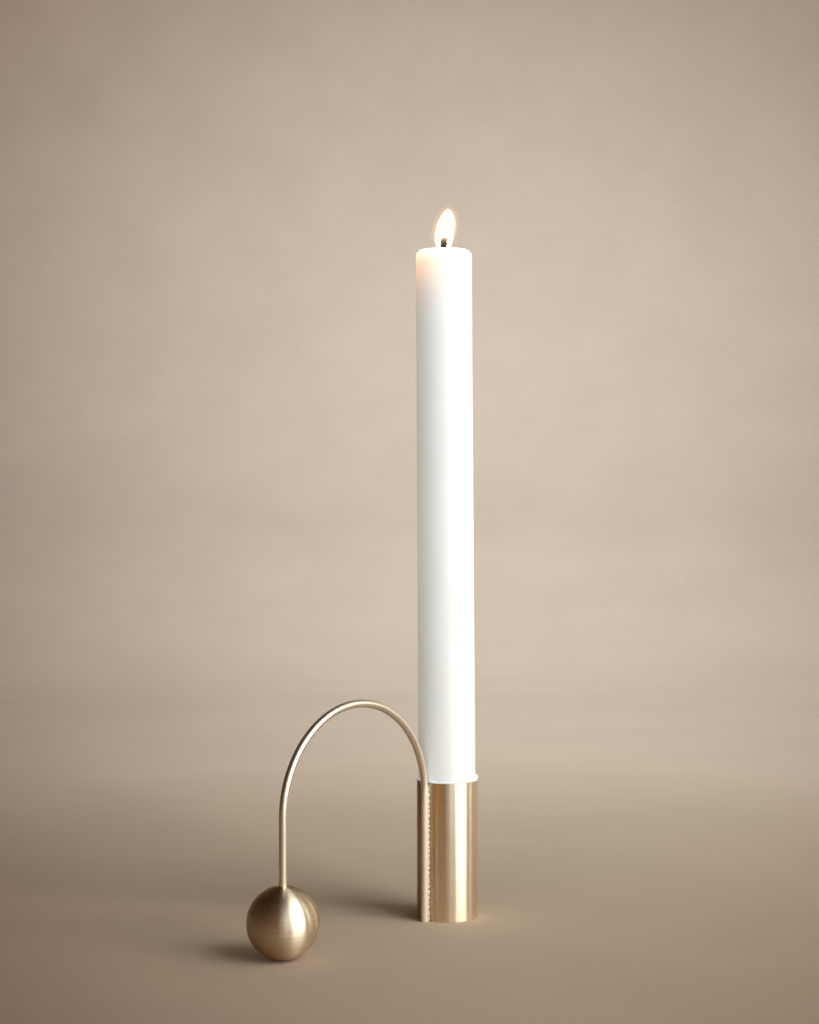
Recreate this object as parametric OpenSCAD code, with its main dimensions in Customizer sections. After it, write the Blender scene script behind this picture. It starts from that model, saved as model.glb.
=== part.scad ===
/* [Cup] */
// Outer diameter of the cup tube
cup_d = 23; // [20:0.5:40]
// Wall thickness of the cup tube
cup_wall = 0.5; // [0.4:0.1:1.5]
// Height of the cup tube
cup_h = 51.3; // [45:0.1:80]
// Thickness of the disc that closes the bottom of the tube
floor_t = 2; // [1:0.5:6]

/* [Rod and arch] */
// Diameter of the bent rod
rod_d = 2.5; // [2:0.1:4]
// Height at which the straight legs turn into the arch
spring_h = 47.6; // [42:0.1:80]
// Radius of the arch, measured to the middle of the rod
arch_r = 36.15; // [30:0.05:60]

/* [Ball] */
// Diameter of the ball on the outer leg
ball_d = 25; // [20:0.5:40]
// Depth of the hole that the rod is fixed in
socket_depth = 10; // [5:1:16]

/* [Solder] */
// How far each seam reaches out from the middle of the rod, along the tube wall
seam_reach = 1.35; // [1:0.05:1.6]
// Leg of the ring of solder between the floor and the tube
floor_fillet = 0.6; // [0.3:0.1:0.8]

/* [Candle] */
// Length of the wax
candle_len = 248; // [80:1:300]
// Gap between the foot of the candle and the bore of the cup
candle_gap = 0.25; // [0.2:0.05:0.5]
// How much the candle narrows from its foot to its top, on the diameter
candle_taper = 0.5; // [0:0.1:1.5]
// How far the candle leans from upright, in degrees
candle_lean = 0.34; // [0:0.02:0.34]
// Direction that it leans in, in degrees about the upright axis from the +X side
lean_dir = 131; // [0:1:360]

/* [Wick and melted wax] */
// Diameter of the wick
wick_d = 2; // [1:0.1:3]
// How far the wick stands above the top of the wax
wick_out = 4.8; // [3:0.1:10]
// Diameter of the hollow that the flame has melted
dish_d = 15; // [8:0.5:16]
// Depth of the hollow
dish_depth = 1.8; // [1:0.1:2.5]

/* [Hidden] */
$fn = 96;
// Thin slivers between two curved faces are drawn with more sides than the rest.
sliver_fn = 240;

cup_r = cup_d / 2;
bore_r = cup_r - cup_wall;
rim_break = 0.12;

rod_r = rod_d / 2;
rod_x = -(cup_r + rod_r);
arch_x = rod_x - arch_r;
ball_x = rod_x - 2 * arch_r;
rod_end_z = ball_d - socket_depth;

// The seams start clear of the line where the rod touches the tube, because the gap is nil there.
seam_start = 0.35;
seam_h = cup_h - 1;
seam_rod_angle = 60;

foot_r = bore_r - candle_gap;
foot_z = floor_t + 0.1;
foot_chamfer = 1;
shoulder_r = foot_r - candle_taper / 2;
shoulder_w = 1.6;
shoulder_h = 1.8;
lean_pivot_z = cup_h / 2;

dish_r = dish_d / 2;
dish_sphere_r = (dish_r * dish_r + dish_depth * dish_depth) / (2 * dish_depth);
pool_drop = 0.6;

collar_gap = 0.1;
collar_h = 1.9;
collar_r = cup_r + 0.35;
collar_top_r = foot_r + 0.2;
collar_rod_gap = 0.3;

brass = [0.72, 0.58, 0.40];
turned_brass = [0.66, 0.52, 0.35];
solder = [0.84, 0.76, 0.60];
wax = [0.97, 0.96, 0.92];
melted_wax = [0.98, 0.93, 0.80];
charred_cotton = [0.16, 0.10, 0.07];

// Puts the candle on its own leaning axis: the children are drawn with their foot at z = 0.
module on_candle_axis() {
    translate([0, 0, lean_pivot_z])
        rotate([0, 0, lean_dir])
            rotate([0, candle_lean, 0])
                rotate([0, 0, -lean_dir])
                    translate([0, 0, foot_z - lean_pivot_z])
                        children();
}

// Round tube with its edges broken, except the inner bottom edge, which meets the floor.
module cup_tube() {
    color(brass)
        rotate_extrude()
            polygon([
                [bore_r, 0],
                [cup_r - rim_break, 0],
                [cup_r, rim_break],
                [cup_r, cup_h - rim_break],
                [cup_r - rim_break, cup_h],
                [bore_r + rim_break, cup_h],
                [bore_r, cup_h - rim_break]
            ]);
}

module cup_floor() {
    color(brass)
        cylinder(r = bore_r, h = floor_t);
}

// Ring of solder in the corner between the floor and the wall.
module floor_solder() {
    color(solder)
        translate([0, 0, floor_t])
            rotate_extrude()
                polygon([
                    [bore_r - floor_fillet, 0],
                    [bore_r, 0],
                    [bore_r, floor_fillet]
                ]);
}

module upright_rod(x, low, high) {
    translate([x, 0, low])
        cylinder(r = rod_r, h = high - low);
}

// One rod: up the side of the cup, over the half-circle arch and down into the ball.
module arch_rod() {
    color(brass) {
        upright_rod(rod_x, 0, spring_h);
        upright_rod(ball_x, rod_end_z, spring_h);
        translate([arch_x, 0, spring_h])
            rotate([90, 0, 0])
                rotate_extrude(angle = 180)
                    translate([arch_r, 0])
                        circle(r = rod_r);
    }
}

// Seam of solder in the groove between the rod and the tube, on the +Y side.
module seam() {
    rod_edge = [rod_x + rod_r * cos(seam_rod_angle), rod_r * sin(seam_rod_angle)];
    tube_edge = [-sqrt(cup_r * cup_r - seam_reach * seam_reach), seam_reach];
    color(solder)
        linear_extrude(seam_h)
            difference() {
                polygon([
                    [rod_x, seam_start],
                    rod_edge,
                    tube_edge,
                    [-bore_r, seam_reach],
                    [-bore_r, seam_start]
                ]);
                circle(r = cup_r, $fn = sliver_fn);
                translate([rod_x, 0])
                    circle(r = rod_r, $fn = sliver_fn);
            }
}

module solder_seam_back() {
    seam();
}

module solder_seam_front() {
    mirror([0, 1, 0])
        seam();
}

// Ball standing on the same surface as the cup, with a blind hole for the rod in its top.
module ball_weight() {
    color(turned_brass)
        difference() {
            translate([ball_x, 0, ball_d / 2])
                sphere(d = ball_d);
            upright_rod(ball_x, rod_end_z, ball_d + 1);
        }
}

// The whole outer shape of the wax, with no hollow and no hole.
module wax_blank() {
    rotate_extrude()
        polygon([
            [0, 0],
            [foot_r - foot_chamfer, 0],
            [foot_r, foot_chamfer],
            [shoulder_r, candle_len - shoulder_h],
            [shoulder_r - shoulder_w, candle_len],
            [0, candle_len]
        ]);
}

module dish() {
    translate([0, 0, candle_len - dish_depth + dish_sphere_r])
        sphere(r = dish_sphere_r, $fn = sliver_fn);
}

module wick_rod() {
    cylinder(d = wick_d, h = candle_len + wick_out);
}

module candle_wax() {
    color(wax)
        on_candle_axis()
            difference() {
                wax_blank();
                dish();
                wick_rod();
            }
}

module wick() {
    color(charred_cotton)
        on_candle_axis()
            wick_rod();
}

// Liquid wax that fills the lower part of the hollow around the wick.
module melt_pool() {
    color(melted_wax)
        on_candle_axis()
            difference() {
                intersection() {
                    dish();
                    cylinder(r = dish_r, h = candle_len - pool_drop);
                }
                wick_rod();
            }
}

// Wax that the rim of the cup has shaved off the candle. It lies round the candle just above
// the rim, and is notched where the rod stands.
module wax_collar() {
    color(wax)
        difference() {
            translate([0, 0, cup_h + collar_gap])
                rotate_extrude()
                    polygon([
                        [foot_r / 2, 0],
                        [collar_r, 0],
                        [collar_r, collar_h / 3],
                        [collar_top_r, collar_h],
                        [foot_r / 2, collar_h]
                    ]);
            on_candle_axis()
                wax_blank();
            translate([rod_x, 0, cup_h])
                cylinder(r = rod_r + collar_rod_gap, h = 2 * collar_h);
        }
}

cup_tube();
cup_floor();
floor_solder();
arch_rod();
solder_seam_front();
solder_seam_back();
ball_weight();
candle_wax();
wick();
melt_pool();
wax_collar();
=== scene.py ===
"""A soldered brass candlestick with a lit dinner candle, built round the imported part.

The holder is a thin tube, a bent rod soldered up its side, and a turned ball on the rod's outer
end. The candle stands in the tube and lifts out. Everything is in metres, with +Z up.
"""

import math

import bmesh
import bpy
from bpy.props import FloatProperty, FloatVectorProperty, PointerProperty
from mathutils import Matrix, Vector, noise


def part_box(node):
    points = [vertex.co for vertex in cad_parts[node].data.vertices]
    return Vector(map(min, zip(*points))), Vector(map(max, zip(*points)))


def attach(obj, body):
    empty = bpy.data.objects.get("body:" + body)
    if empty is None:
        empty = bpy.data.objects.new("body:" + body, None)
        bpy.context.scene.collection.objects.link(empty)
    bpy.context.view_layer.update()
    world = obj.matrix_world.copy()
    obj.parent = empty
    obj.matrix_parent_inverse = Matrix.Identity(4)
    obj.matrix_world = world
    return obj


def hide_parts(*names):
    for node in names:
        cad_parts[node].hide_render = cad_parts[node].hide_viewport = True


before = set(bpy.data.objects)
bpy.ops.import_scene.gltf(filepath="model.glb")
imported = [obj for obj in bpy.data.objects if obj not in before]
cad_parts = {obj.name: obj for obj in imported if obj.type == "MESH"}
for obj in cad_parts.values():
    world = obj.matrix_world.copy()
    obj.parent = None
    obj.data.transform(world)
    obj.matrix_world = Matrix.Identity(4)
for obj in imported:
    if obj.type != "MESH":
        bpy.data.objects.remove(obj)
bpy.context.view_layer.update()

bl_info = {
    "name": "Brass Candlestick",
    "version": (1, 0, 0),
    "blender": (4, 5, 0),
    "location": "View3D > Sidebar > Candlestick",
    "description": "Builds a soldered brass candlestick with a lit dinner candle",
    "category": "Add Mesh",
}

MM = 0.001
UP = Vector((0, 0, 1))
TURN = 2 * math.pi
MERGE_DISTANCE = 1e-7
SHARP_ANGLE = math.radians(40)


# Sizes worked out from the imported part


def node_low(node):
    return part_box(node)[0]


def node_high(node):
    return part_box(node)[1]


def node_size(node):
    return node_high(node) - node_low(node)


def node_middle(node):
    return (node_high(node) + node_low(node)) / 2


CUP_RADIUS = node_high("cup_tube").x
BORE_RADIUS = node_high("cup_floor").x
CUP_HEIGHT = node_high("cup_tube").z

ROD_RADIUS = node_size("arch_rod").y / 2
ROD_X = node_high("arch_rod").x - ROD_RADIUS
BALL_X = node_low("arch_rod").x + ROD_RADIUS
ARCH_RADIUS = (ROD_X - BALL_X) / 2
ARCH_X = (ROD_X + BALL_X) / 2
SPRING_Z = node_high("arch_rod").z - ROD_RADIUS - ARCH_RADIUS

BALL_TOP = node_high("ball_weight").z
BALL_RADIUS = (BALL_TOP**2 + ROD_RADIUS**2) / (2 * BALL_TOP)
SOCKET_Z = BALL_RADIUS * 1.2

# The candle leans a little: its axis goes through the middle of the cup and of the melted wax.
CUP_MIDDLE = UP * CUP_HEIGHT / 2
CANDLE_AXIS = (node_middle("melt_pool") - CUP_MIDDLE).normalized()
FOOT_Z = node_low("wick").z
WAX_LENGTH = node_high("candle_wax").z - FOOT_Z
WICK_TOP = node_high("wick").z - FOOT_Z
POOL_RADIUS = (node_size("melt_pool").x + node_size("melt_pool").y) / 4
POOL_BOTTOM = node_low("melt_pool").z - FOOT_Z
POOL_LEVEL = node_high("melt_pool").z - FOOT_Z
POOL_DEPTH = POOL_LEVEL - POOL_BOTTOM
DISH_SPHERE_RADIUS = (POOL_RADIUS**2 + POOL_DEPTH**2) / (2 * POOL_DEPTH)


# What a user would change


class HolderSettings(bpy.types.PropertyGroup):
    """Sizes and colours of the brass holder"""

    rim_round: FloatProperty(
        name="Rim Rounding",
        description="Radius that the cut edges of the tube are rounded to",
        default=0.12 * MM,
        unit="LENGTH",
    )
    rod_fullness: FloatProperty(
        name="Rod Fullness",
        description="How much fuller the rod is drawn than its stock size, on the radius",
        default=0.16 * MM,
        unit="LENGTH",
    )
    seam_reach: FloatProperty(
        name="Seam Reach",
        description="How far the solder reaches along the tube from the middle of the rod",
        default=1.22 * MM,
        unit="LENGTH",
    )
    bead_pitch: FloatProperty(
        name="Bead Pitch",
        description="Spacing of the beads that the solder has set in",
        default=1.9 * MM,
        unit="LENGTH",
    )
    tube_colour: FloatVectorProperty(
        name="Tube Colour",
        description="Colour of the brushed brass tube",
        default=(0.84, 0.715, 0.535),
        subtype="COLOR",
    )
    rod_colour: FloatVectorProperty(
        name="Rod Colour",
        description="Colour of the drawn brass rod",
        default=(0.83, 0.745, 0.61),
        subtype="COLOR",
    )
    ball_colour: FloatVectorProperty(
        name="Ball Colour",
        description="Colour of the turned brass ball",
        default=(0.81, 0.69, 0.51),
        subtype="COLOR",
    )
    stain_colour: FloatVectorProperty(
        name="Stain Colour",
        description="Colour that the brass tends to where it has been handled",
        default=(0.74, 0.57, 0.38),
        subtype="COLOR",
    )
    # Painted shade: this colour darkens the back of the tube beside the rod and one lower side of
    # the ball.
    painted_shade_colour: FloatVectorProperty(
        name="Painted Shade Colour",
        description="Colour of the painted shade on the back of the tube beside the rod and on one lower side of the ball",
        default=(0.40, 0.23, 0.11),
        subtype="COLOR",
    )
    solder_colour: FloatVectorProperty(
        name="Solder Colour",
        description="Colour of the solder",
        default=(0.72, 0.60, 0.43),
        subtype="COLOR",
    )


class CandleSettings(bpy.types.PropertyGroup):
    """Sizes and colours of the candle and its flame"""

    foot_radius: FloatProperty(
        name="Foot Radius",
        description="Radius of the wax at the foot of the candle",
        default=BORE_RADIUS - 0.25 * MM,
        unit="LENGTH",
    )
    top_radius: FloatProperty(
        name="Top Radius",
        description="Radius of the wax just below the shoulder",
        default=BORE_RADIUS - 0.50 * MM,
        unit="LENGTH",
    )
    flame_height: FloatProperty(
        name="Flame Height",
        description="Height of the flame above the melted wax",
        default=16.4 * MM,
        unit="LENGTH",
    )
    flame_radius: FloatProperty(
        name="Flame Radius",
        description="Half the width of the flame at its widest",
        default=3.8 * MM,
        unit="LENGTH",
    )
    wax_colour: FloatVectorProperty(
        name="Wax Colour",
        description="Colour of the wax",
        default=(0.82, 0.83, 0.835),
        subtype="COLOR",
    )
    glow_colour: FloatVectorProperty(
        name="Glow Colour",
        description="Colour of the flame's light that comes through the wax",
        default=(1.0, 0.385, 0.13),
        subtype="COLOR",
    )
    # Painted light: this colour is emission over the whole wax.
    bounce_colour: FloatVectorProperty(
        name="Bounce Colour",
        description="Colour of the faint glow painted over the whole wax, for light that wanders about inside it",
        default=(0.21, 0.225, 0.215),
        subtype="COLOR",
    )
    flame_colour: FloatVectorProperty(
        name="Flame Colour",
        description="Colour of the flame",
        default=(1.0, 0.93, 0.80),
        subtype="COLOR",
    )
    flame_edge_colour: FloatVectorProperty(
        name="Flame Edge Colour",
        description="Colour of the soft edge of the flame",
        default=(1.0, 0.62, 0.38),
        subtype="COLOR",
    )


class StudioSettings(bpy.types.PropertyGroup):
    """Camera, backdrop and lights"""

    camera_azimuth: FloatProperty(
        name="Camera Azimuth",
        description="Where the camera stands, turned from the -Y side about the cup",
        default=math.radians(-49.02),
        unit="ROTATION",
    )
    camera_distance: FloatProperty(
        name="Camera Distance",
        description="Distance on the ground from the cup to the camera",
        default=641.5 * MM,
        unit="LENGTH",
    )
    camera_height: FloatProperty(
        name="Camera Height",
        description="Height of the camera above the floor",
        default=151.9 * MM,
        unit="LENGTH",
    )
    camera_turn: FloatProperty(
        name="Camera Turn",
        description="How far the camera looks to the left of the cup",
        default=math.radians(1.27),
        unit="ROTATION",
    )
    backdrop_colour: FloatVectorProperty(
        name="Backdrop Colour",
        description="Colour of the paper that the candlestick stands on",
        default=(0.895, 0.79, 0.61),
        subtype="COLOR",
    )
    far_colour: FloatVectorProperty(
        name="Far Backdrop Colour",
        description="Colour of the paper further from the candlestick",
        default=(0.94, 0.845, 0.73),
        subtype="COLOR",
    )
    edge_colour: FloatVectorProperty(
        name="Backdrop Edge Colour",
        description="Colour of the paper outside the pool of light",
        default=(0.11, 0.025, 0.0),
        subtype="COLOR",
    )
    backdrop_glow: FloatProperty(
        name="Backdrop Glow",
        description="Brightness that the paper gains further from the candlestick",
        default=0.26,
    )
    backdrop_glow_colour: FloatVectorProperty(
        name="Backdrop Glow Colour",
        description="Colour of the light that the paper gains further from the candlestick",
        default=(1.0, 0.855, 0.685),
        subtype="COLOR",
    )


# Mesh helpers


def candle_frame():
    """Puts a piece drawn upright, with its foot at the origin, on the candle's leaning axis."""
    lean = UP.rotation_difference(CANDLE_AXIS).to_matrix().to_4x4()
    drop = Matrix.Translation(UP * (FOOT_Z - CUP_MIDDLE.z))
    return Matrix.Translation(CUP_MIDDLE) @ lean @ drop


def arc(centre_r, centre_z, radius, start, end, steps):
    """Points (r, z) on an arc, with its angles counted from straight up towards the outside."""
    angles = [start + (end - start) * i / steps for i in range(steps + 1)]
    return [(centre_r + radius * math.sin(a), centre_z + radius * math.cos(a)) for a in angles]


def lathe(outline, steps, closed=True, axis_x=0.0):
    """Turns an outline of (r, z) points round the upright axis at axis_x."""
    bm = bmesh.new()
    verts = [bm.verts.new((axis_x + r, 0, z)) for r, z in outline]
    ends = verts[1:] + verts[:1] if closed else verts[1:]
    edges = [bm.edges.new(pair) for pair in zip(verts, ends)]
    bmesh.ops.spin(
        bm, geom=verts + edges, cent=(axis_x, 0, 0), axis=UP, dvec=(0, 0, 0), angle=TURN,
        steps=steps, use_merge=True, use_duplicate=False,
    )
    bmesh.ops.remove_doubles(bm, verts=bm.verts, dist=MERGE_DISTANCE)
    bmesh.ops.recalc_face_normals(bm, faces=bm.faces)
    return bm


def ring(bm, radius, z):
    """The edges of one round edge of a lathed mesh."""
    near = 0.01 * MM

    def on_ring(vert):
        return abs(vert.co.xy.length - radius) < near and abs(vert.co.z - z) < near

    return [edge for edge in bm.edges if all(on_ring(vert) for vert in edge.verts)]


def edges_of(items):
    return [item for item in items if isinstance(item, bmesh.types.BMEdge)]


def verts_of(items):
    return [item for item in items if isinstance(item, bmesh.types.BMVert)]


def close_ends(bm):
    """Caps the open ends and turns every face outwards."""
    bmesh.ops.holes_fill(bm, edges=bm.edges, sides=0)
    bmesh.ops.recalc_face_normals(bm, faces=bm.faces)


def round_edges(bm, edges, radius):
    bmesh.ops.bevel(
        bm, geom=edges, offset=radius, offset_type="OFFSET", segments=3, profile=0.5,
        affect="EDGES", clamp_overlap=True, material=-1,
    )


def wobble(point, size, seed=0.0):
    """Smooth noise from -1 to 1 whose bumps are about size across."""
    return noise.noise(point / size + Vector((seed, 1.7 * seed, 0)))


def bump_near(angle, centre, width):
    """1 at the centre angle, falling smoothly to 0 a few widths away."""
    away = math.remainder(angle - centre, TURN)
    return math.exp(-((away / width) ** 2))


def finish_piece(bm, name, material, body, slot, *nodes):
    """Makes the mesh an object that rides on its body and stands for its CAD nodes."""
    if not bm.faces:
        raise RuntimeError(f"{name} came out with no faces")
    for face in bm.faces:
        face.smooth = True
    mesh = bpy.data.meshes.new(name)
    bm.to_mesh(mesh)
    bm.free()
    mesh.set_sharp_from_angle(angle=SHARP_ANGLE)
    mesh.materials.append(material)
    piece = bpy.data.objects.new(name, mesh)
    bpy.context.collection.objects.link(piece)
    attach(piece, body)
    if nodes:
        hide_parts(*nodes)
    return piece


# Material helpers


def new_material(name, **sockets):
    """A Principled material with these values set on its own sockets."""
    material = bpy.data.materials.new(name)
    material.use_nodes = True
    shader = material.node_tree.nodes["Principled BSDF"]
    for socket, value in sockets.items():
        shader.inputs[socket.replace("_", " ")].default_value = value
    return material, shader


def plug(material, value, socket):
    """Joins another node's output to the socket, or sets a plain value on it."""
    if isinstance(value, bpy.types.NodeSocket):
        material.node_tree.links.new(value, socket)
    else:
        socket.default_value = value


def wire(material, node, **inputs):
    """Fills a node's inputs with values or other nodes' outputs."""
    for name, value in inputs.items():
        plug(material, value, node.inputs[name.replace("_", " ")])


def add_node(material, kind, settings=None, **inputs):
    """Adds a node: its settings are attributes, its inputs values or other nodes' outputs."""
    node = material.node_tree.nodes.new(kind)
    for name, value in (settings or {}).items():
        setattr(node, name, value)
    wire(material, node, **inputs)
    return node


def math_node(material, operation, first, second=0.0):
    node = material.node_tree.nodes.new("ShaderNodeMath")
    node.operation = operation
    plug(material, first, node.inputs[0])
    plug(material, second, node.inputs[1])
    return node.outputs["Value"]


def product(material, first, second):
    return math_node(material, "MULTIPLY", first, second)


def vector_node(material, operation, first, second=(0, 0, 0), output="Vector"):
    node = material.node_tree.nodes.new("ShaderNodeVectorMath")
    node.operation = operation
    plug(material, first, node.inputs[0])
    plug(material, second, node.inputs[1])
    return node.outputs[output]


def scaled(material, vector, scale):
    return vector_node(material, "MULTIPLY", vector, scale)


def reach_along(material, vector, direction):
    """How far the vector reaches along a direction."""
    return vector_node(material, "DOT_PRODUCT", vector, direction, output="Value")


def level_distance(material, vector):
    """The vector's length on the ground."""
    return vector_node(material, "LENGTH", scaled(material, vector, (1, 1, 0)), output="Value")


def part_of(material, vector, axis):
    return add_node(material, "ShaderNodeSeparateXYZ", Vector=vector).outputs[axis]


def place(material, centre=(0, 0, 0)):
    """The point on the piece, measured from a centre, in metres."""
    coordinates = add_node(material, "ShaderNodeTexCoord").outputs["Object"]
    return vector_node(material, "SUBTRACT", coordinates, centre)


def noise_value(material, vector, detail=2.0, roughness=0.5):
    node = add_node(
        material, "ShaderNodeTexNoise", Vector=vector, Scale=1.0, Detail=detail, Roughness=roughness
    )
    return node.outputs["Fac"]


def spread(material, value, low, high, new_low, new_high, smooth=True):
    """Maps values from low to high onto new_low to new_high, and holds them there beyond."""
    kind = "SMOOTHSTEP" if smooth else "LINEAR"
    node = add_node(
        material, "ShaderNodeMapRange", {"interpolation_type": kind},
        Value=value, From_Min=low, From_Max=high, To_Min=new_low, To_Max=new_high,
    )
    return node.outputs["Result"]


def blend_colours(material, factor, first, second):
    node = material.node_tree.nodes.new("ShaderNodeMix")
    node.data_type = "RGBA"
    plug(material, factor, node.inputs["Factor"])
    for index, value in ((6, first), (7, second)):
        is_output = isinstance(value, bpy.types.NodeSocket)
        plug(material, value if is_output else (*value[:3], 1.0), node.inputs[index])
    return node.outputs[2]


def add_bump(material, height, depth, normal=None):
    node = add_node(material, "ShaderNodeBump", Height=height, Distance=depth, Strength=1.0)
    if normal is not None:
        plug(material, normal, node.inputs["Normal"])
    return node.outputs["Normal"]


def turn_tangent(material, shader):
    """Runs the fine scratches round the upright axis."""
    turned = add_node(material, "ShaderNodeTangent", {"direction_type": "RADIAL", "axis": "Z"})
    plug(material, turned.outputs["Tangent"], shader.inputs["Tangent"])


def colour_brass(material, shader, base, stain, at, grain, shine, shade=1.0):
    """Handled brass: stains and grain in its colour, times the given shade (painted shade, for the
    tube), and a roughness that follows the grain.
    """
    patches = noise_value(material, scaled(material, at, (90, 90, 60)), detail=4.0, roughness=0.6)
    stained = spread(material, patches, 0.45, 0.75, 0.0, 0.45)
    toned = blend_colours(material, stained, base, stain)
    streaks = spread(material, grain, 0.3, 0.7, 0.96, 1.03)
    shaded = scaled(material, toned, product(material, streaks, shade))
    least_rough, most_rough = shine
    rough = spread(material, grain, 0.25, 0.75, least_rough, most_rough)
    wire(material, shader, Base_Color=shaded, Roughness=rough)


# The finishes


def brushed_tube_brass(holder):
    """Brass brushed round the tube: fine level scratches that draw reflections out up and down."""
    material, shader = new_material(
        "brushed_tube_brass", Metallic=1.0, Anisotropic=0.96, Anisotropic_Rotation=0.25
    )
    at = place(material)
    grain = noise_value(material, scaled(material, at, (70, 70, 7000)), detail=3.0)
    from_rod = level_distance(material, vector_node(material, "SUBTRACT", at, (ROD_X, 0, 0)))
    # Painted shade: within about 3 mm of the rod's axis the tube's colour is darkened, down to
    # 0.36.
    painted_shade_by_rod = spread(material, from_rod, 2.1 * MM, 3.1 * MM, 0.36, 1.0)
    # Painted shade: on the back (+Y) side, within about 11 mm of the rod, the tube is blended
    # towards the painted shade colour.
    far_side = spread(material, part_of(material, at, "Y"), 0.0, 3 * MM, 0.0, 0.8)
    near_rod = spread(material, from_rod, 6 * MM, 11 * MM, 1.0, 0.0)
    painted_back_shade = product(material, far_side, near_rod)
    shaded_tone = blend_colours(material, painted_back_shade, holder.tube_colour, holder.painted_shade_colour)
    rubbed = noise_value(material, scaled(material, at, (800, 800, 45)), detail=3.0)
    shade = product(material, painted_shade_by_rod, spread(material, rubbed, 0.3, 0.7, 0.97, 1.03))
    colour_brass(material, shader, shaded_tone, holder.stain_colour, at, grain, (0.33, 0.38), shade)
    turn_tangent(material, shader)
    wire(material, shader, Normal=add_bump(material, grain, 0.004 * MM))
    return material


def turned_ball_brass(holder):
    """Brass turned on a lathe: rings round the rod's axis, with a softer shine than the tube's."""
    material, shader = new_material(
        "turned_ball_brass", Metallic=1.0, Anisotropic=0.91, Anisotropic_Rotation=0.25
    )
    at = place(material, (BALL_X, 0, BALL_RADIUS))
    height = part_of(material, at, "Z")
    polar = math_node(material, "ARCTAN2", level_distance(material, at), height)
    rings = product(material, polar, BALL_RADIUS * 6000)
    lift = add_node(material, "ShaderNodeCombineXYZ", Z=rings).outputs["Vector"]
    shift = scaled(material, at, (60, 60, 0))
    grain = noise_value(material, vector_node(material, "ADD", shift, lift), detail=3.0)
    turned_lines = spread(material, grain, 0.3, 0.7, 0.90, 1.07)
    # Painted shade: the ball is blended towards the painted shade colour on its lower side, towards
    # (-0.39, 0.45, -0.80).
    toward_painted_shade = reach_along(material, at, (-0.39, 0.45, -0.80))
    ball_painted_shade = spread(material, toward_painted_shade, -0.1 * BALL_RADIUS, BALL_RADIUS, 0.0, 1.0)
    shaded_tone = blend_colours(material, ball_painted_shade, holder.ball_colour, holder.painted_shade_colour)
    colour_brass(
        material, shader, shaded_tone, holder.stain_colour, at, grain, (0.34, 0.41), turned_lines
    )
    turn_tangent(material, shader)
    wire(material, shader, Normal=add_bump(material, grain, 0.006 * MM))
    return material


def drawn_rod_brass(holder):
    """Brass drawn through a die: faint lines along the rod, kept in the piece's own attribute."""
    material, shader = new_material("drawn_rod_brass", Metallic=1.0)
    attribute = add_node(material, "ShaderNodeAttribute", {"attribute_name": "along_rod"})
    along_rod = attribute.outputs["Vector"]
    grain = noise_value(material, scaled(material, along_rod, (2600, 2600, 60)), detail=2.0)
    at = place(material)
    colour_brass(material, shader, holder.rod_colour, holder.stain_colour, at, grain, (0.36, 0.42))
    length = part_of(material, along_rod, "Z")
    brushed = spread(material, length, -2 * MM, 8 * MM, 0.80, 0.0)
    rough = math_node(
        material, "MAXIMUM", shader.inputs["Roughness"].links[0].from_socket, brushed
    )
    wire(material, shader, Roughness=rough, Normal=add_bump(material, grain, 0.004 * MM))
    return material


def lumpy_solder(holder):
    """Solder that has set with a slightly pitted skin."""
    material, shader = new_material("lumpy_solder", Metallic=1.0)
    spots = scaled(material, place(material), (2200, 2200, 1500))
    pits = noise_value(material, spots, detail=3.0, roughness=0.6)
    dull = spread(material, pits, 0.4, 0.7, 0.0, 0.5)
    wire(
        material, shader,
        Base_Color=blend_colours(material, dull, holder.solder_colour, holder.stain_colour),
        Roughness=spread(material, pits, 0.3, 0.7, 0.46, 0.60),
        Normal=add_bump(material, pits, 0.02 * MM),
    )
    return material


def faced_floor_brass(holder):
    """Brass disc faced on a lathe: rings round its centre."""
    material, shader = new_material("faced_floor_brass", Metallic=1.0)
    at = place(material)
    rings = product(material, level_distance(material, at), 4000)
    across_rings = add_node(material, "ShaderNodeCombineXYZ", X=rings).outputs["Vector"]
    grain = noise_value(material, across_rings, detail=3.0)
    colour_brass(material, shader, holder.tube_colour, holder.stain_colour, at, grain, (0.30, 0.42))
    wire(material, shader, Normal=add_bump(material, grain, 0.01 * MM))
    return material


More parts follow.
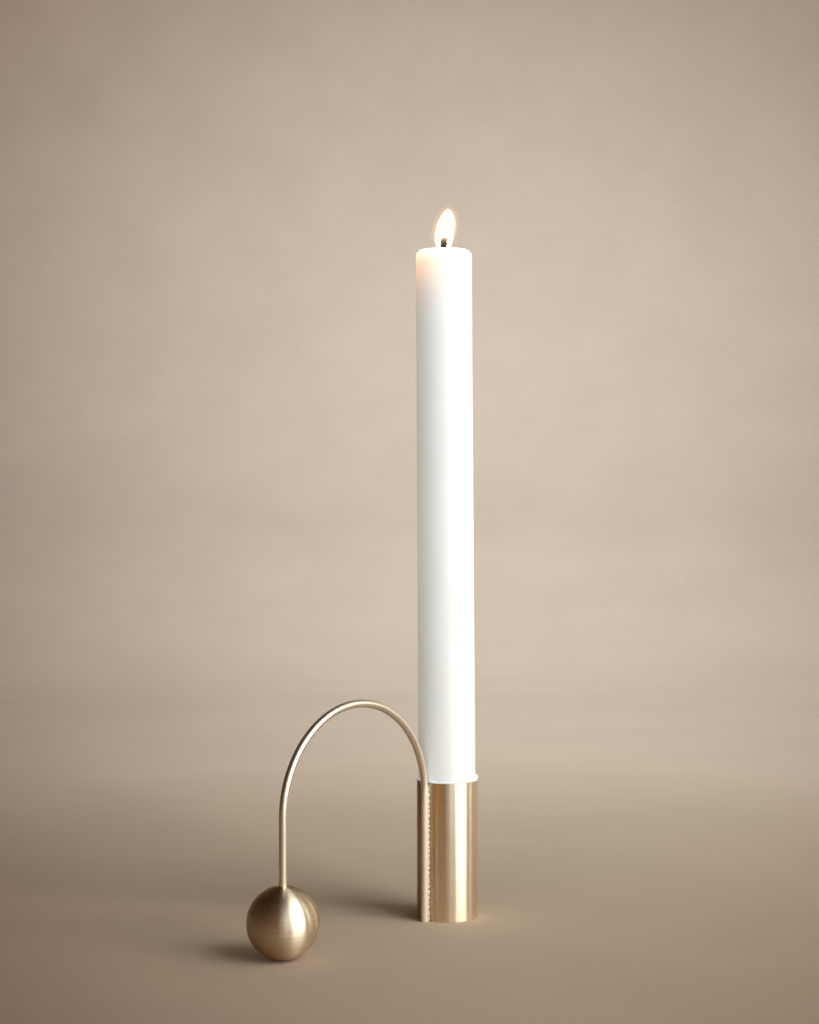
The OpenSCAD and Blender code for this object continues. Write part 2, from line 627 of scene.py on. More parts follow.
def lit_wax(candle, name="candle_wax_lit"):
    """White wax that light enters, with the flame's warm glow painted into its top and a faint
    painted glow all over.
    """
    material, shader = new_material(
        name, Subsurface_Weight=1.0, Subsurface_Radius=(1.0, 0.85, 0.7),
        Subsurface_Scale=2.5 * MM, IOR=1.43, Specular_IOR_Level=0.35, Emission_Strength=1.0,
    )
    at = place(material)
    mottle = noise_value(material, scaled(material, at, (110, 110, 45)), detail=4.0, roughness=0.55)
    warm = tuple(c * k for c, k in zip(candle.wax_colour, (0.985, 0.965, 0.93)))
    cloudy = spread(material, mottle, 0.35, 0.7, 0.0, 1.0)

    # Painted light: the flame's glow is emission, strongest near the flame's foot and fading below
    # it.
    flame_foot = candle_frame() @ (UP * (WAX_LENGTH + 3 * MM))
    away = vector_node(material, "DISTANCE", at, flame_foot, output="Value")
    full_glow_reach, glow_fade, glow_strength = 12 * MM, 5.5 * MM, 0.88
    nearer = math_node(material, "SUBTRACT", full_glow_reach, away)
    fading = math_node(material, "EXPONENT", math_node(material, "DIVIDE", nearer, glow_fade))
    glow = math_node(material, "MINIMUM", product(material, fading, glow_strength), 1.0)
    deep = spread(material, away, 9.5 * MM, 13.5 * MM, 0.0, 1.0)
    glow_colour = blend_colours(material, deep, (1.0, 0.88, 0.68), candle.glow_colour)
    lit = scaled(material, glow_colour, glow)
    # Painted light: a faint glow over the whole wax, weaker towards its foot.
    height = part_of(material, at, "Z")
    bounce = scaled(
        material, candle.bounce_colour,
        spread(material, height, CUP_HEIGHT, 3 * CUP_HEIGHT, 0.68, 1.0),
    )

    fine = noise_value(material, scaled(material, at, (900, 900, 500)), detail=3.0)
    skin = add_bump(material, fine, 0.012 * MM)
    wire(
        material, shader,
        Base_Color=blend_colours(material, cloudy, candle.wax_colour, warm),
        Roughness=spread(material, mottle, 0.3, 0.7, 0.34, 0.46),
        Emission_Color=vector_node(material, "ADD", lit, bounce),
        Normal=add_bump(material, mottle, 0.08 * MM, normal=skin),
    )
    return material


def melted_wax(candle):
    """Clear liquid wax, glossy and a little yellow, with a faint painted glow in the glow colour.
    """
    material, shader = new_material(
        "melted_wax_clear", Transmission_Weight=0.7, IOR=1.43, Roughness=0.04,
        Emission_Color=(*candle.glow_colour, 1.0), Emission_Strength=0.35,
    )
    swirl = noise_value(material, scaled(material, place(material), (240, 240, 240)), detail=2.0)
    wire(
        material, shader,
        Base_Color=blend_colours(material, swirl, (0.98, 0.95, 0.86), (0.96, 0.90, 0.74)),
        Normal=add_bump(material, swirl, 0.02 * MM),
    )
    return material


def burnt_cotton():
    """Twisted cotton: waxed and pale in the candle, charred above, with an ember at its end."""
    material, shader = new_material(
        "burnt_cotton", Roughness=0.9, Specular_IOR_Level=0.05,
        Emission_Color=(1.0, 0.42, 0.14, 1.0),
    )
    at = place(material)
    height = part_of(material, at, "Z")
    level, tip = FOOT_Z + POOL_LEVEL, FOOT_Z + WICK_TOP
    fibres = noise_value(material, scaled(material, at, (2500, 2500, 900)), detail=3.0)
    charred = spread(material, height, level - 0.5 * MM, level + 1.2 * MM, 0.0, 1.0)
    soot = blend_colours(material, fibres, (0.006, 0.003, 0.0015), (0.028, 0.013, 0.007))
    ember = spread(material, height, tip - 1.6 * MM, tip, 0.0, 1.0)
    patchy = product(material, ember, spread(material, fibres, 0.3, 0.7, 0.3, 1.0))
    wire(
        material, shader,
        Base_Color=blend_colours(material, charred, (0.80, 0.75, 0.64), soot),
        Emission_Strength=product(material, patchy, 1.1),
        Normal=add_bump(material, fibres, 0.06 * MM),
    )
    return material


def glowing_gas(name, colour, strength):
    """A layer of the flame: it shines, and neither reflects nor scatters light."""
    return new_material(
        name, Roughness=1.0, Specular_IOR_Level=0.0, Base_Color=(0, 0, 0, 1),
        Emission_Color=(*colour, 1.0), Emission_Strength=strength,
    )


def flame_light(candle):
    """The burning part of the flame. Round the wick, only the far wall of the flame is seen."""
    material, shader = glowing_gas("flame_light", candle.flame_colour, 1.7)
    height = part_of(material, place(material), "Z")
    tip = FOOT_Z + WICK_TOP
    burning = spread(material, height, tip - 0.8 * MM, tip + 1.2 * MM, 0.0, 1.0)
    far_wall = add_node(material, "ShaderNodeNewGeometry").outputs["Backfacing"]
    solid = math_node(material, "MAXIMUM", burning, far_wall)
    wire(material, shader, Alpha=spread(material, solid, 0.0, 1.0, 0.008, 1.0, smooth=False))
    return material


def flame_edge(candle, grow, solidity):
    """One thin peach layer of the flame's soft edge, fading out towards the wick."""
    name = f"flame_edge_{grow / MM:.1f}".replace(".", "_")
    material, shader = glowing_gas(name, candle.flame_edge_colour, 1.1)
    height = part_of(material, place(material), "Z")
    base = FOOT_Z + POOL_LEVEL
    wire(material, shader, Alpha=spread(material, height, base + MM, base + 8 * MM, 0.0, solidity))
    return material


# The pieces


class CANDLESTICK_OT_add_cup(bpy.types.Operator):
    """Add the thin brass tube that the candle stands in"""

    bl_idname = "candlestick.add_cup"
    bl_label = "Add Cup"

    def execute(self, context):
        holder = context.scene.candlestick_holder
        inside, outside = BORE_RADIUS, CUP_RADIUS
        wall = [(inside, 0), (outside, 0), (outside, CUP_HEIGHT), (inside, CUP_HEIGHT)]
        bm = lathe(wall, steps=192)
        cut_edges = ring(bm, CUP_RADIUS, 0) + ring(bm, CUP_RADIUS, CUP_HEIGHT)
        round_edges(bm, cut_edges + ring(bm, BORE_RADIUS, CUP_HEIGHT), holder.rim_round)
        material = brushed_tube_brass(holder)
        finish_piece(bm, "cup_shell", material, "holder", "brushed_brass", "cup_tube")
        return {"FINISHED"}


class CANDLESTICK_OT_finish_floor(bpy.types.Operator):
    """Give the disc in the bottom of the cup and its ring of solder their finish"""

    bl_idname = "candlestick.finish_floor"
    bl_label = "Finish Floor"

    def execute(self, context):
        holder = context.scene.candlestick_holder
        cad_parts["cup_floor"].material_slots[0].material = faced_floor_brass(holder)
        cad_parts["floor_solder"].material_slots[0].material = lumpy_solder(holder)
        return {"FINISHED"}


def mark_along_rod(bm):
    """Stores, for each point, its place across the rod and its distance along it."""
    layer = bm.verts.layers.float_vector.new("along_rod")
    centre = Vector((ARCH_X, 0, SPRING_Z))
    for vert in bm.verts:
        offset = vert.co - centre
        if offset.z <= 0:
            side = math.copysign(1, offset.x)
            across = side * offset.x - ARCH_RADIUS
            along = offset.z if side > 0 else math.pi * ARCH_RADIUS - offset.z
        else:
            angle = math.atan2(offset.z, offset.x)
            across = offset.xz.length - ARCH_RADIUS
            along = ARCH_RADIUS * angle
        vert[layer] = (across, vert.co.y, along)


class CANDLESTICK_OT_add_rod(bpy.types.Operator):
    """Add the bent rod: up the side of the cup, over the arch and down into the ball"""

    bl_idname = "candlestick.add_rod"
    bl_label = "Add Rod"

    def execute(self, context):
        holder = context.scene.candlestick_holder
        bm = bmesh.new()
        bmesh.ops.create_circle(
            bm, cap_ends=False, radius=ROD_RADIUS + holder.rod_fullness, segments=48,
            matrix=Matrix.Translation((ROD_X, 0, 0)),
        )
        self.extrude(bm, list(bm.edges), UP * SPRING_Z)
        top = [edge for edge in bm.edges if all(vert.co.z > SPRING_Z / 2 for vert in edge.verts)]
        bent = bmesh.ops.spin(
            bm, geom=top, cent=(ARCH_X, 0, SPRING_Z), axis=(0, -1, 0), dvec=(0, 0, 0),
            angle=math.pi, steps=120, use_duplicate=False,
        )
        self.extrude(bm, edges_of(bent["geom_last"]), UP * (SOCKET_Z - SPRING_Z))
        bmesh.ops.remove_doubles(bm, verts=bm.verts, dist=MERGE_DISTANCE)
        close_ends(bm)
        cut_end = [
            edge for edge in bm.edges
            if all(abs(vert.co.z) < MERGE_DISTANCE for vert in edge.verts)
        ]
        round_edges(bm, cut_end, holder.rim_round)
        mark_along_rod(bm)
        finish_piece(bm, "bent_rod", drawn_rod_brass(holder), "holder", "drawn_brass", "arch_rod")
        return {"FINISHED"}

    @staticmethod
    def extrude(bm, edges, move):
        made = bmesh.ops.extrude_edge_only(bm, edges=edges)["geom"]
        bmesh.ops.translate(bm, verts=verts_of(made), vec=move)


def solder_seam(holder, side):
    """One seam: a strip in the groove between rod and tube, swept up the cup in small beads."""
    height = CUP_HEIGHT - 0.8 * MM
    steps = 300
    root = 0.25 * MM
    on_rod = math.radians(62)
    rod_x, rod_y = ROD_X + ROD_RADIUS * math.cos(on_rod), ROD_RADIUS * math.sin(on_rod)
    reach = holder.seam_reach
    tube_x = -math.sqrt(CUP_RADIUS**2 - reach**2)
    section = [
        (ROD_X + ROD_RADIUS, root),
        (rod_x, rod_y),
        (rod_x + 0.22 * MM, rod_y + 0.02 * MM),
        (tube_x - 0.08 * MM, reach - 0.06 * MM),
        (tube_x + 0.02 * MM, reach),
    ]
    bm = bmesh.new()
    verts = [bm.verts.new((x, side * y, 0)) for x, y in section]
    edges = [bm.edges.new(pair) for pair in zip(verts, verts[1:] + verts[:1])]
    for _ in range(steps):
        made = bmesh.ops.extrude_edge_only(bm, edges=edges)["geom"]
        edges = edges_of(made)
        bmesh.ops.translate(bm, verts=verts_of(made), vec=UP * height / steps)
    close_ends(bm)
    for vert in bm.verts:
        free = (abs(vert.co.y) - root) / (reach - root)
        phase = vert.co.z / holder.bead_pitch + 0.5 * wobble(vert.co, 5 * MM, side)
        bead = abs(math.sin(math.pi * phase)) - 0.6
        level = UP * vert.co.z
        ragged = 0.5 * wobble(level, 0.8 * MM, 3 * side) + 0.6 * wobble(level, 4 * MM, side)
        vert.co.y += side * free * (0.17 * bead + 0.10 * ragged) * MM
    return bm


class CANDLESTICK_OT_add_seams(bpy.types.Operator):
    """Add the two seams of solder between the rod and the tube"""

    bl_idname = "candlestick.add_seams"
    bl_label = "Add Solder Seams"

    def execute(self, context):
        holder = context.scene.candlestick_holder
        material = lumpy_solder(holder)
        for name, side in (("front", -1), ("back", 1)):
            bm = solder_seam(holder, side)
            finish_piece(bm, f"solder_{name}", material, "holder", "solder", f"solder_seam_{name}")
        return {"FINISHED"}


class CANDLESTICK_OT_add_ball(bpy.types.Operator):
    """Add the turned ball, with the hole that the rod is fixed in"""

    bl_idname = "candlestick.add_ball"
    bl_label = "Add Ball"

    def execute(self, context):
        holder = context.scene.candlestick_holder
        hole_radius = ROD_RADIUS + holder.rod_fullness + 0.03 * MM
        mouth_radius = hole_radius + 0.10 * MM
        mouth = math.asin(mouth_radius / BALL_RADIUS)
        skin = arc(0, BALL_RADIUS, BALL_RADIUS, mouth, math.pi, 96)
        countersink_z = skin[0][1] - 0.12 * MM
        outline = [(0, SOCKET_Z), (hole_radius, SOCKET_Z), (hole_radius, countersink_z), *skin]
        bm = lathe(outline, steps=192, closed=False, axis_x=BALL_X)
        material = turned_ball_brass(holder)
        finish_piece(bm, "turned_ball", material, "holder", "turned_brass", "ball_weight")
        return {"FINISHED"}


def dish_height(radius):
    """Height of the melted hollow's surface above the candle's foot."""
    return POOL_BOTTOM + DISH_SPHERE_RADIUS - math.sqrt(DISH_SPHERE_RADIUS**2 - radius**2)


class CANDLESTICK_OT_add_wax(bpy.types.Operator):
    """Add the dinner candle, with its moulded shoulder and the hollow that the flame has melted"""

    bl_idname = "candlestick.add_wax"
    bl_label = "Add Wax"

    def execute(self, context):
        candle = context.scene.candlestick_candle
        wick_radius = 1.0 * MM
        foot, top = candle.foot_radius, candle.top_radius
        shoulder_width, shoulder_height = 1.3 * MM, 1.5 * MM
        shoulder_z = WAX_LENGTH - shoulder_height
        rings, dish_rings = 120, 16
        side = []
        for i in range(rings + 1):
            t = i / rings
            side.append((foot + (top - foot) * t, MM + (shoulder_z - MM) * t))
        below_sphere = DISH_SPHERE_RADIUS - (WAX_LENGTH - POOL_BOTTOM)
        dish_edge = math.sqrt(DISH_SPHERE_RADIUS**2 - below_sphere**2)
        dish_width = wick_radius - dish_edge
        dish = [dish_edge + dish_width * i / dish_rings for i in range(dish_rings + 1)]
        outline = [
            (wick_radius, 0),
            (foot - MM, 0),
            *side,
            (top - shoulder_width, WAX_LENGTH),
            *[(r, dish_height(r)) for r in dish],
        ]
        bm = lathe(outline, steps=160)
        round_edges(bm, ring(bm, top, shoulder_z), 0.12 * MM)
        round_edges(bm, ring(bm, top - shoulder_width, WAX_LENGTH), 0.18 * MM)
        round_edges(bm, ring(bm, dish_edge, WAX_LENGTH), 0.3 * MM)
        proud_side, proud_width = Vector((-0.66, 0.75, 0)), 2.2 * MM
        for vert in bm.verts:
            outward = Vector((vert.co.x, vert.co.y, 0))
            if outward.length < 4 * MM:
                continue
            # Slow waves run down the whole side, and the softened top has short ones as well.
            long_waves = wobble(Vector((vert.co.x, vert.co.y, vert.co.z * 0.35)), 9 * MM, 2)
            near_top = max(0, 1 - (WAX_LENGTH - vert.co.z) / (4 * MM))
            short_waves = wobble(vert.co, 2.6 * MM, 5) * near_top
            vert.co += outward.normalized() * (0.05 * long_waves + 0.07 * short_waves) * MM
            vert.co.z += 0.06 * MM * wobble(vert.co, 5 * MM, 8) * near_top
            # The rim has melted less on one side, and stands a little proud there.
            proud = max(0, outward.normalized().dot(proud_side))
            rim = max(0, outward.length - top + proud_width) / proud_width
            vert.co.z += 0.4 * MM * proud * rim * near_top
        bmesh.ops.transform(bm, matrix=candle_frame(), verts=bm.verts)
        finish_piece(bm, "dinner_candle", lit_wax(candle), "candle", "white_wax", "candle_wax")
        return {"FINISHED"}


class CANDLESTICK_OT_add_collar(bpy.types.Operator):
    """Add the uneven ridge of wax that the rim has shaved off the candle"""

    bl_idname = "candlestick.add_collar"
    bl_label = "Add Wax Collar"

    def execute(self, context):
        candle = context.scene.candlestick_candle
        inner = candle.foot_radius - 0.35 * MM
        width = CUP_RADIUS + 0.15 * MM - inner
        height = 1.1 * MM
        floor_z = CUP_HEIGHT + 0.03 * MM
        section = [
            (inner, floor_z),
            (inner + 0.70 * width, floor_z),
            (inner + 0.95 * width, floor_z + 0.12 * height),
            (inner + width, floor_z + 0.35 * height),
            (inner + 0.92 * width, floor_z + 0.62 * height),
            (inner + 0.72 * width, floor_z + 0.85 * height),
            (inner + 0.52 * width, floor_z + height),
            (inner, floor_z + 1.05 * height),
        ]
        bm = lathe(section, steps=360)
        for vert in bm.verts:
            angle = math.atan2(vert.co.y, vert.co.x)
            out = vert.co.xy.length
            free = (out - inner) / width
            rise = vert.co.z - floor_z
            spot = Vector((math.cos(angle), math.sin(angle), 0)) * CUP_RADIUS
            tall = 0.62 + 0.45 * wobble(spot, 4.5 * MM, 1) + 0.22 * wobble(spot, 1.3 * MM, 4)
            wide = 0.80 + 0.22 * wobble(spot, 3.2 * MM, 7) + 0.12 * wobble(spot, 1.1 * MM, 9)
            # A curl of wax stands up on one side, a crumb lies near the rod, and the rod cuts in.
            curl = bump_near(angle, math.radians(-46), math.radians(13))
            crumb = bump_near(angle, math.radians(-173), math.radians(4))
            beside_rod = bump_near(angle, math.pi, math.radians(8))
            tall += 1.15 * curl + 1.0 * crumb - 0.25 * beside_rod
            wide += 0.18 * curl + 0.12 * crumb - 0.55 * beside_rod
            swell = inner + width * free * max(wide, 0.25)
            lift = rise * max(tall, 0.2)
            vert.co.x, vert.co.y = swell * math.cos(angle), swell * math.sin(angle)
            vert.co.z = floor_z + lift + 0.35 * curl * free * MM
        material = lit_wax(candle, "shaved_wax")
        finish_piece(bm, "shaved_collar", material, "candle", "white_wax", "wax_collar")
        return {"FINISHED"}


class CANDLESTICK_OT_add_wick(bpy.types.Operator):
    """Add the wick: three twisted strands, charred and thinned above the wax"""

    bl_idname = "candlestick.add_wick"
    bl_label = "Add Wick"

    def execute(self, context):
        pitch = 4.6 * MM
        strand_radius = 0.58 * MM
        strand_offset = 0.54 * MM
        turns = WICK_TOP / pitch
        steps = int(turns * 10)
        bm = bmesh.new()
        start = Matrix.Translation((strand_offset, 0, 0))
        bmesh.ops.create_circle(bm, cap_ends=True, radius=strand_radius, segments=8, matrix=start)
        bmesh.ops.spin(
            bm, geom=bm.edges[:], cent=(0, 0, 0), axis=UP, dvec=UP * WICK_TOP / steps,
            angle=TURN * turns, steps=steps, use_duplicate=False,
        )
        first = bm.verts[:] + bm.edges[:] + bm.faces[:]
        for strand in (1, 2):
            copied = bmesh.ops.duplicate(bm, geom=first)["geom"]
            turned = Matrix.Rotation(strand * TURN / 3, 4, "Z")
            bmesh.ops.transform(bm, matrix=turned, verts=verts_of(copied))
        close_ends(bm)
        for vert in bm.verts:
            free = max(0, (vert.co.z - POOL_LEVEL) / (WICK_TOP - POOL_LEVEL))
            swell = min(1, max(0, (vert.co.z - POOL_LEVEL + 1.5 * MM) / (1.5 * MM)))
            thin = 1 + 0.16 * swell - 0.10 * free**3 + 0.10 * free * wobble(vert.co, 0.7 * MM, 2)
            vert.co.x *= thin
            vert.co.y *= thin
            vert.co.x += 0.25 * MM * free**2
        bmesh.ops.transform(bm, matrix=candle_frame(), verts=bm.verts)
        finish_piece(bm, "twisted_wick", burnt_cotton(), "candle", "charred_wick", "wick")
        return {"FINISHED"}


class CANDLESTICK_OT_add_pool(bpy.types.Operator):
    """Add the melted wax, drawn up a little where it meets the wick and the edge of the hollow"""

    bl_idname = "candlestick.add_pool"
    bl_label = "Add Melted Wax"

    def execute(self, context):
        candle = context.scene.candlestick_candle
        inner, outer = 0.9 * MM, POOL_RADIUS
        surface = []
        rings = 28
        for i in range(rings + 1):
            r = inner + (outer - inner) * i / rings
            up_wick = 0.30 * MM * math.exp(-(r - inner) / (0.45 * MM))
            up_edge = 0.14 * MM * math.exp((r - outer) / (0.4 * MM))
            surface.append((r, POOL_LEVEL + up_wick + up_edge))
        under = [(r, dish_height(r)) for r, _ in reversed(surface)]
        bm = lathe(surface + under, steps=96)
        bmesh.ops.transform(bm, matrix=candle_frame(), verts=bm.verts)
        finish_piece(bm, "melted_wax", melted_wax(candle), "candle", "melted_wax", "melt_pool")
        return {"FINISHED"}


def flame_outline(height, radius, base):
    """A full belly low down and a long point above."""
    rings = 36
    outline = []
    for i in range(rings + 1):
        t = (1 - math.cos(math.pi * i / rings)) / 2
        side = abs(2 * t - 1)
        full = (1 - side**2.6) ** 0.5 if t < 0.5 else (1 - side**2) ** 0.68
        outline.append((radius * full, base + height * t))
    return outline


class CANDLESTICK_OT_add_flame(bpy.types.Operator):
    """Add the flame, which leans a little in the air of the room"""

    bl_idname = "candlestick.add_flame"
    bl_label = "Add Flame"

    def execute(self, context):
        candle = context.scene.candlestick_candle
        studio = context.scene.candlestick_studio
        drift = Vector((math.cos(studio.camera_azimuth), math.sin(studio.camera_azimuth), 0))
        drift *= 1.7 * MM
        shells = (
            ("flame_body", flame_light(candle), -0.15 * MM),
            ("flame_rim", flame_edge(candle, 0.25 * MM, 0.26), 0.25 * MM),
            ("flame_veil", flame_edge(candle, 0.8 * MM, 0.13), 0.8 * MM),
            ("flame_haze", flame_edge(candle, 1.7 * MM, 0.10), 1.7 * MM),
        )
        for name, material, grow in shells:
            height = candle.flame_height + 1.2 * grow
            base = POOL_LEVEL + 0.2 * MM - grow * 0.3
            outline = flame_outline(height, candle.flame_radius + grow, base)
            bm = lathe(outline, steps=64, closed=False)
            for vert in bm.verts:
                t = (vert.co.z - POOL_LEVEL) / candle.flame_height
                lean = min(max((t - 0.2) / 0.8, 0), 1)
                vert.co += drift * lean * lean * (3 - 2 * lean)
            bmesh.ops.transform(bm, matrix=candle_frame(), verts=bm.verts)
            finish_piece(bm, name, material, "candle", "flame")
        return {"FINISHED"}


# The studio


def around(azimuth, distance, height):
    """A point round the cup. Azimuth 0 is the -Y side, and it grows anticlockwise from above."""
    return Vector((math.sin(azimuth) * distance, -math.cos(azimuth) * distance, height))


def camera_place(studio):
    return around(studio.camera_azimuth, studio.camera_distance, studio.camera_height)


def paper(studio):
    """Matt seamless paper with a faint fibre, with a pool of light painted into its colour and glow
    that fades towards its edges.
    """
    material, shader = new_material(
        "seamless_paper", Roughness=0.9, Specular_IOR_Level=0.15,
        Emission_Color=(*studio.backdrop_glow_colour, 1.0),
    )
    at = place(material)
    away = vector_node(material, "LENGTH", at, output="Value")
    # Painted shade: the paper is darker and warmer near the candlestick and lighter further out.
    far = spread(material, away, 0.10, 0.70, 0.0, 1.0)
    toned = blend_colours(material, far, studio.backdrop_colour, studio.far_colour)

    # The painted pool of light is brightest behind the candle as seen from the camera's place, and
    # fades with the angle from there.
    eye = camera_place(studio)
    pool_middle = around(studio.camera_azimuth + math.pi - math.radians(1.7), 1.5, 0.27)
    pool_spread = 0.0605
    sight = vector_node(material, "NORMALIZE", vector_node(material, "SUBTRACT", at, eye))
    facing = reach_along(material, sight, (pool_middle - eye).normalized())
    off_middle = math_node(material, "SUBTRACT", facing, 1.0)
    fading = math_node(material, "DIVIDE", off_middle, pool_spread)
    pool = math_node(material, "EXPONENT", fading)

    # Outside the painted pool the paper is painted dark in the edge colour; well outside it and
    # away from the candlestick, it is a plain paper colour darkened to 0.38 by painted shade.
    outer = spread(material, away, 0.20, 0.50, 0.0, 1.0)
    unlit = product(material, outer, spread(material, pool, 0.02, 0.28, 1.0, 0.0))
    plain = tuple(0.38 * channel for channel in studio.backdrop_colour)
    edge = blend_colours(material, unlit, studio.edge_colour, plain)
    pooled = blend_colours(material, pool, edge, toned)

    fibre = noise_value(material, scaled(material, at, (9, 9, 9)), detail=5.0, roughness=0.6)
    mottle = spread(material, fibre, 0.3, 0.7, 0.96, 1.02)
    fine = noise_value(material, scaled(material, at, (900, 900, 900)))
    tooth = spread(material, fine, 0.3, 0.7, 0.975, 1.025)
    base = scaled(material, pooled, product(material, mottle, tooth))

    # Painted light: the paper glows more further from the candlestick, less high up, and only
    # inside the painted pool.
    lift = spread(material, away, 0.05, 0.40, 0.0, studio.backdrop_glow, smooth=False)
    height = part_of(material, at, "Z")
    low = spread(material, height, 0.0, 0.14, 1.0, 0.25, smooth=False)
    glow = product(material, product(material, lift, low), pool)
    wire(material, shader, Base_Color=base, Emission_Strength=glow)
    return material


def add_softbox(studio, name, bearing, distance, height, size, strength, tint=(1, 1, 1)):
    """A softbox at a bearing in degrees from the camera, growing to its right."""
    width, tall = size
    light = bpy.data.lights.new(name, "AREA")
    light.shape = "RECTANGLE"
    light.size, light.size_y = width, tall
    light.color = tint
    light.energy = strength * width * tall
    lamp = bpy.data.objects.new(name, light)
    lamp.location = around(studio.camera_azimuth + math.radians(bearing), distance, height)
    aim = Vector((0, 0, 0.10)) - lamp.location
    lamp.rotation_euler = aim.to_track_quat("-Z", "Y").to_euler()
    lamp.visible_camera = False
    bpy.context.collection.objects.link(lamp)
    return lamp


def light_only(name, lamps, pieces):
    """Makes these lamps fall on these pieces and nothing else."""
    receivers = bpy.data.collections.new(name)
    for piece in pieces:
        receivers.objects.link(bpy.context.scene.objects[piece])
    for lamp in lamps:
        lamp.light_linking.receiver_collection = receivers


def light_room(scene, studio):
    """A dim warm room: lighter far round on the camera's right, and dark towards the ceiling."""
    world = bpy.data.worlds.new("dim_room")
    scene.world = world
    world.use_nodes = True
    background = world.node_tree.nodes["Background"]
    right = around(studio.camera_azimuth + math.radians(128), 1, 0)
    left = around(studio.camera_azimuth - math.radians(95), 1, 0)
    direction = add_node(world, "ShaderNodeTexCoord").outputs["Generated"]
    on_right = reach_along(world, direction, right)
    on_left = reach_along(world, direction, left)
    height = part_of(world, direction, "Z")
    warm, pale, dark = (0.22, 0.12, 0.055), (0.80, 0.69, 0.52), (0.035, 0.018, 0.009)
    level = blend_colours(world, spread(world, on_right, 0.70, 0.92, 0.0, 1.0), warm, pale)
    level = blend_colours(world, spread(world, on_left, 0.10, 0.90, 0.0, 1.0), level, dark)
    level = blend_colours(world, spread(world, height, 0.15, 0.75, 0.0, 1.0), level, dark)
    plug(world, level, background.inputs["Color"])
    background.inputs["Strength"].default_value = 1.0


class CANDLESTICK_OT_set_stage(bpy.types.Operator):
    """Set up the paper, the lights and the camera"""

    bl_idname = "candlestick.set_stage"
    bl_label = "Set Stage"

    def execute(self, context):
        studio = context.scene.candlestick_studio
        self.hang_paper(studio)
        cool = (0.92, 0.98, 1.04)
        add_softbox(
            studio, "key_softbox", 55, distance=1.70, height=0.85, size=(1.46, 1.80), strength=19.5
        )
        add_softbox(
            studio, "front_panel", 17, distance=1.70, height=0.60, size=(0.50, 1.40), strength=3.2,
            tint=cool,
        )
        add_softbox(
            studio, "front_card", 8, distance=1.80, height=0.60, size=(0.85, 1.40), strength=1.8,
            tint=cool,
        )
        add_softbox(
            studio, "side_strip", 98, distance=1.12, height=0.58, size=(0.096, 0.84), strength=16.0
        )
        warm_card = add_softbox(
            studio, "warm_card", -40, distance=1.20, height=0.30, size=(1.30, 1.60), strength=1.0,
            tint=(1, 0.54, 0.25),
        )
        wall_glow = add_softbox(
            studio, "warm_wall_glow", -125, distance=1.20, height=0.40, size=(0.80, 1.20),
            strength=1.5, tint=(1, 0.60, 0.20),
        )
        wax_fill = add_softbox(
            studio, "wax_fill", -4, distance=1.20, height=0.30, size=(0.80, 1.00), strength=4.8,
            tint=(0.82, 0.97, 1.03),
        )
        light_only("lit_by_warm_card", [warm_card], ["cup_shell"])
        light_only("lit_for_the_wax", [wall_glow, wax_fill], ["dinner_candle", "shaved_collar"])
        light_room(context.scene, studio)
        self.place_camera(context.scene, studio)
        return {"FINISHED"}

    @staticmethod
    def hang_paper(studio):
        flat_radius, sweep_radius, wall_top = 0.8, 0.8, 2.2
        drop = 0.02 * MM
        material = paper(studio)
        sweep = arc(flat_radius, sweep_radius, -sweep_radius, 0, -math.pi / 2, 24)
        for name, outline in (
            ("paper_floor", [(0, 0), (flat_radius, 0)]),
            ("paper_wall", [*sweep, (flat_radius + sweep_radius, wall_top)]),
        ):
            bm = lathe(outline, steps=128, closed=False)
            bmesh.ops.translate(bm, verts=bm.verts, vec=-UP * drop)
            mesh = bpy.data.meshes.new(name)
            for face in bm.faces:
                face.smooth = True
            bm.to_mesh(mesh)
            bm.free()
            mesh.materials.append(material)
            sheet = bpy.data.objects.new(name, mesh)
            bpy.context.collection.objects.link(sheet)
            if name == "paper_wall":
                sheet.visible_glossy = False
                sheet.visible_shadow = False

    @staticmethod
    def place_camera(scene, studio):
        camera = bpy.data.objects.new("camera", bpy.data.cameras.new("camera"))
        camera.data.lens = 59.9
        camera.data.sensor_width = 36.0
        camera.location = camera_place(studio)
        turn = studio.camera_azimuth + studio.camera_turn
        camera.rotation_euler = (math.pi / 2, 0, turn)
        bpy.context.collection.objects.link(camera)
        scene.camera = camera
        scene.view_settings.view_transform = "Standard"


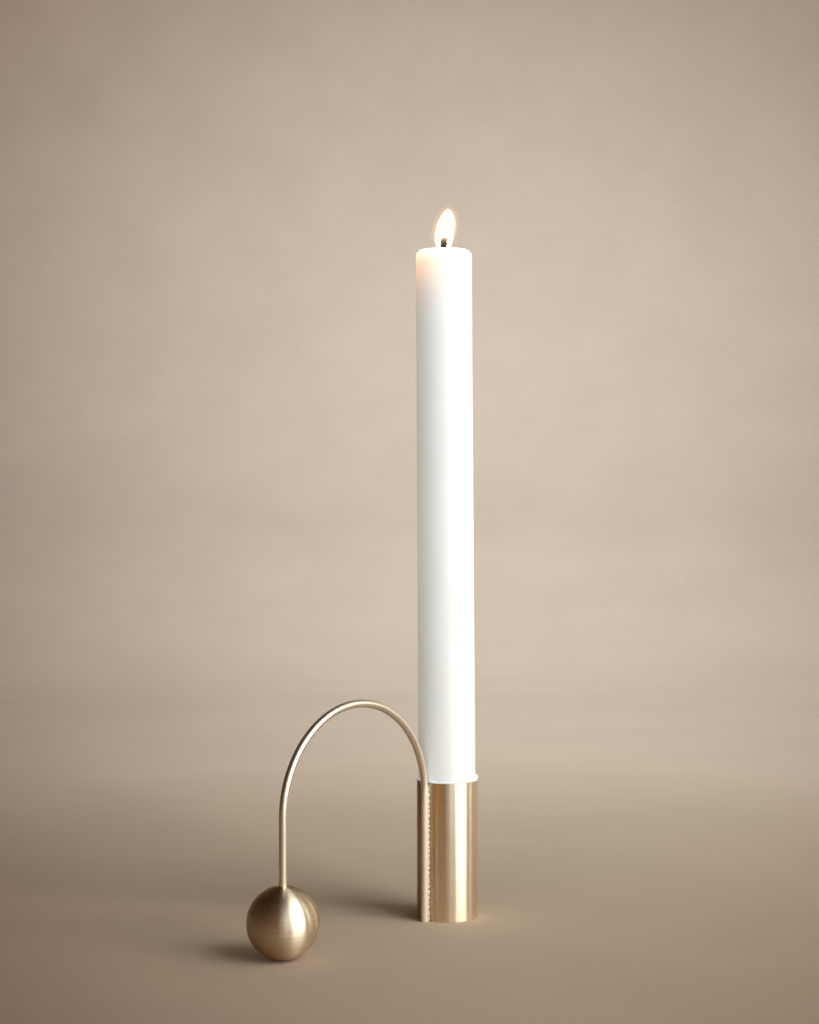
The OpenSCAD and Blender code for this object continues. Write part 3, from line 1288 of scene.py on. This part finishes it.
PIECES = (
    CANDLESTICK_OT_add_cup,
    CANDLESTICK_OT_finish_floor,
    CANDLESTICK_OT_add_rod,
    CANDLESTICK_OT_add_seams,
    CANDLESTICK_OT_add_ball,
    CANDLESTICK_OT_add_wax,
    CANDLESTICK_OT_add_collar,
    CANDLESTICK_OT_add_wick,
    CANDLESTICK_OT_add_pool,
    CANDLESTICK_OT_add_flame,
    CANDLESTICK_OT_set_stage,
)


class CANDLESTICK_PT_sidebar(bpy.types.Panel):
    """Lists the pieces of the candlestick"""

    bl_idname = "CANDLESTICK_PT_sidebar"
    bl_label = "Candlestick"
    bl_space_type = "VIEW_3D"
    bl_region_type = "UI"
    bl_category = "Candlestick"

    def draw(self, context):
        for piece in PIECES:
            self.layout.operator(piece.bl_idname)
        for group in ("candlestick_holder", "candlestick_candle", "candlestick_studio"):
            settings = getattr(context.scene, group)
            for name in settings.bl_rna.properties.keys():
                if name not in ("rna_type", "name"):
                    self.layout.prop(settings, name)


CLASSES = (HolderSettings, CandleSettings, StudioSettings, *PIECES, CANDLESTICK_PT_sidebar)


def register():
    for cls in CLASSES:
        bpy.utils.register_class(cls)
    bpy.types.Scene.candlestick_holder = PointerProperty(type=HolderSettings)
    bpy.types.Scene.candlestick_candle = PointerProperty(type=CandleSettings)
    bpy.types.Scene.candlestick_studio = PointerProperty(type=StudioSettings)


def unregister():
    del bpy.types.Scene.candlestick_studio
    del bpy.types.Scene.candlestick_candle
    del bpy.types.Scene.candlestick_holder
    for cls in reversed(CLASSES):
        bpy.utils.unregister_class(cls)


def main():
    register()
    bpy.ops.candlestick.add_cup()
    bpy.ops.candlestick.finish_floor()
    bpy.ops.candlestick.add_rod()
    bpy.ops.candlestick.add_seams()
    bpy.ops.candlestick.add_ball()
    bpy.ops.candlestick.add_wax()
    bpy.ops.candlestick.add_collar()
    bpy.ops.candlestick.add_wick()
    bpy.ops.candlestick.add_pool()
    bpy.ops.candlestick.add_flame()
    bpy.ops.candlestick.set_stage()


if __name__ == "__main__":
    main()
